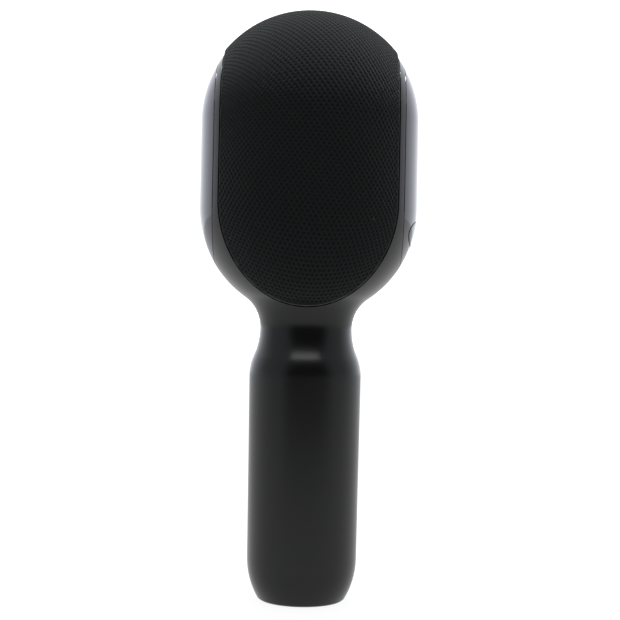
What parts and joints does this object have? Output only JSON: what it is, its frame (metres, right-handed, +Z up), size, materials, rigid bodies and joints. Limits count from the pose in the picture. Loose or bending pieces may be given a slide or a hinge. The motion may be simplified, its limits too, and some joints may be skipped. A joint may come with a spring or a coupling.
{
  "type": "karaoke microphone",
  "caption": "Upright handheld microphone with a loudspeaker in its round cloth-covered head, glossy side light panels, a narrow neck, a round handle with sprung keys, and a flat base.",
  "frame": {"origin": "middle of the underside of the base pad, where the microphone stands", "axes": "+Z up along the handle to the crown of the head; -Y is the rear face with the loudspeaker, +Y is the front with the keys, +X is the side with the light key"},
  "size_m": [0.0902, 0.092, 0.2427],
  "materials": {
    "shell_black": "satin black moulded plastic with a very fine spark-eroded grain",
    "panel_gloss": "smoke-tinted glossy plastic that lets the side lights through",
    "control_gloss": "glossy black inlay",
    "key_black": "satin black keys with pale printed symbols",
    "grille_cloth": "black open-mesh knitted acoustic cloth",
    "frame_plastic": "black moulded plastic",
    "rubber": "matt black rubber",
    "foam": "open-cell black foam",
    "paper": "pressed black paper pulp",
    "spider_cloth": "resin-dipped corrugated cloth",
    "steel": "nickel-plated steel",
    "zinc_steel": "zinc-plated steel",
    "copper_coil": "enamelled copper winding",
    "ferrite": "sintered dark grey ferrite",
    "circuit_board": "green solder-masked glass-fibre board",
    "diffuser": "milky white light diffuser",
    "battery_wrap": "metal can in a blue plastic sleeve",
    "cable_jacket": "soft black cable jacket"
  },
  "bodies": {
    "body": {"rear_shell": "shell_black", "front_shell": "shell_black", "base_plate": "frame_plastic", "base_pad": "rubber", "base_screw_left": "zinc_steel", "base_screw_right": "zinc_steel", "grille_fabric": "grille_cloth", "grille_frame": "frame_plastic", "left_side_panel": "panel_gloss", "right_side_panel": "panel_gloss", "left_light_diffuser": "diffuser", "right_light_diffuser": "diffuser", "left_light_board": "circuit_board", "right_light_board": "circuit_board", "speaker_chamber": "frame_plastic", "speaker_basket": "frame_plastic", "speaker_front_plate": "steel", "speaker_magnet": "ferrite", "speaker_yoke": "steel", "speaker_spider": "spider_cloth", "speaker_surround": "rubber", "speaker_screw_1": "zinc_steel", "speaker_screw_2": "zinc_steel", "speaker_screw_3": "zinc_steel", "speaker_screw_4": "zinc_steel", "radiator_frame": "frame_plastic", "radiator_surround": "rubber", "radiator_screw_1": "zinc_steel", "radiator_screw_2": "zinc_steel", "radiator_screw_3": "zinc_steel", "radiator_screw_4": "zinc_steel", "capsule_bracket": "frame_plastic", "capsule_holder": "rubber", "microphone_capsule": "steel", "capsule_foam": "foam", "battery_tray": "frame_plastic", "battery_cell": "battery_wrap", "main_board": "circuit_board", "usb_socket": "steel", "headphone_jack": "frame_plastic", "button_board": "circuit_board", "keypad": "rubber", "control_panel": "control_gloss", "indicator_lens": "diffuser", "speaker_cable": "cable_jacket", "capsule_cable": "cable_jacket"},
    "speaker_moving": {"speaker_cone": "paper", "speaker_dust_cap": "paper", "voice_coil": "copper_coil"},
    "radiator_moving": {"radiator_diaphragm": "paper"},
    "power_button_body": {"power_button": "key_black"},
    "volume_down_button_body": {"volume_down_button": "key_black"},
    "volume_up_button_body": {"volume_up_button": "key_black"},
    "play_button_body": {"play_button": "key_black"},
    "echo_down_button_body": {"echo_down_button": "key_black"},
    "echo_up_button_body": {"echo_up_button": "key_black"},
    "voice_button_body": {"voice_button": "key_black"},
    "light_button_body": {"light_button": "panel_gloss"}
  },
  "joints": [
    {"name": "speaker_excursion", "type": "slide", "parent": "body", "child": "speaker_moving", "axis": [0, 1, 0], "range_m": [-0.0015, 0.0015], "stiffness_N_per_m": 1800, "deforming": ["speaker_surround", "speaker_spider"]},
    {"name": "radiator_excursion", "type": "slide", "parent": "body", "child": "radiator_moving", "axis": [0, 1, 0], "range_m": [-0.0015, 0.0015], "stiffness_N_per_m": 900, "deforming": ["radiator_surround"]},
    {"name": "power_press", "type": "slide", "parent": "body", "child": "power_button_body", "axis": [0, -1, 0], "range_m": [0, 0.0006], "stiffness_N_per_m": 1500},
    {"name": "volume_down_press", "type": "slide", "parent": "body", "child": "volume_down_button_body", "axis": [0, -1, 0], "range_m": [0, 0.0006], "stiffness_N_per_m": 1500},
    {"name": "volume_up_press", "type": "slide", "parent": "body", "child": "volume_up_button_body", "axis": [0, -1, 0], "range_m": [0, 0.0006], "stiffness_N_per_m": 1500},
    {"name": "play_press", "type": "slide", "parent": "body", "child": "play_button_body", "axis": [0, -1, 0], "range_m": [0, 0.0006], "stiffness_N_per_m": 1500},
    {"name": "echo_down_press", "type": "slide", "parent": "body", "child": "echo_down_button_body", "axis": [0, -1, 0], "range_m": [0, 0.0006], "stiffness_N_per_m": 1500},
    {"name": "echo_up_press", "type": "slide", "parent": "body", "child": "echo_up_button_body", "axis": [0, -1, 0], "range_m": [0, 0.0006], "stiffness_N_per_m": 1500},
    {"name": "voice_press", "type": "slide", "parent": "body", "child": "voice_button_body", "axis": [0, -1, 0], "range_m": [0, 0.0006], "stiffness_N_per_m": 1500},
    {"name": "light_press", "type": "slide", "parent": "body", "child": "light_button_body", "axis": [-1, 0, 0], "range_m": [0, 0.0006], "stiffness_N_per_m": 1500}
  ],
  "couplings": [
    {"joint": "radiator_excursion", "follows": "speaker_excursion", "ratio": 1}
  ]
}
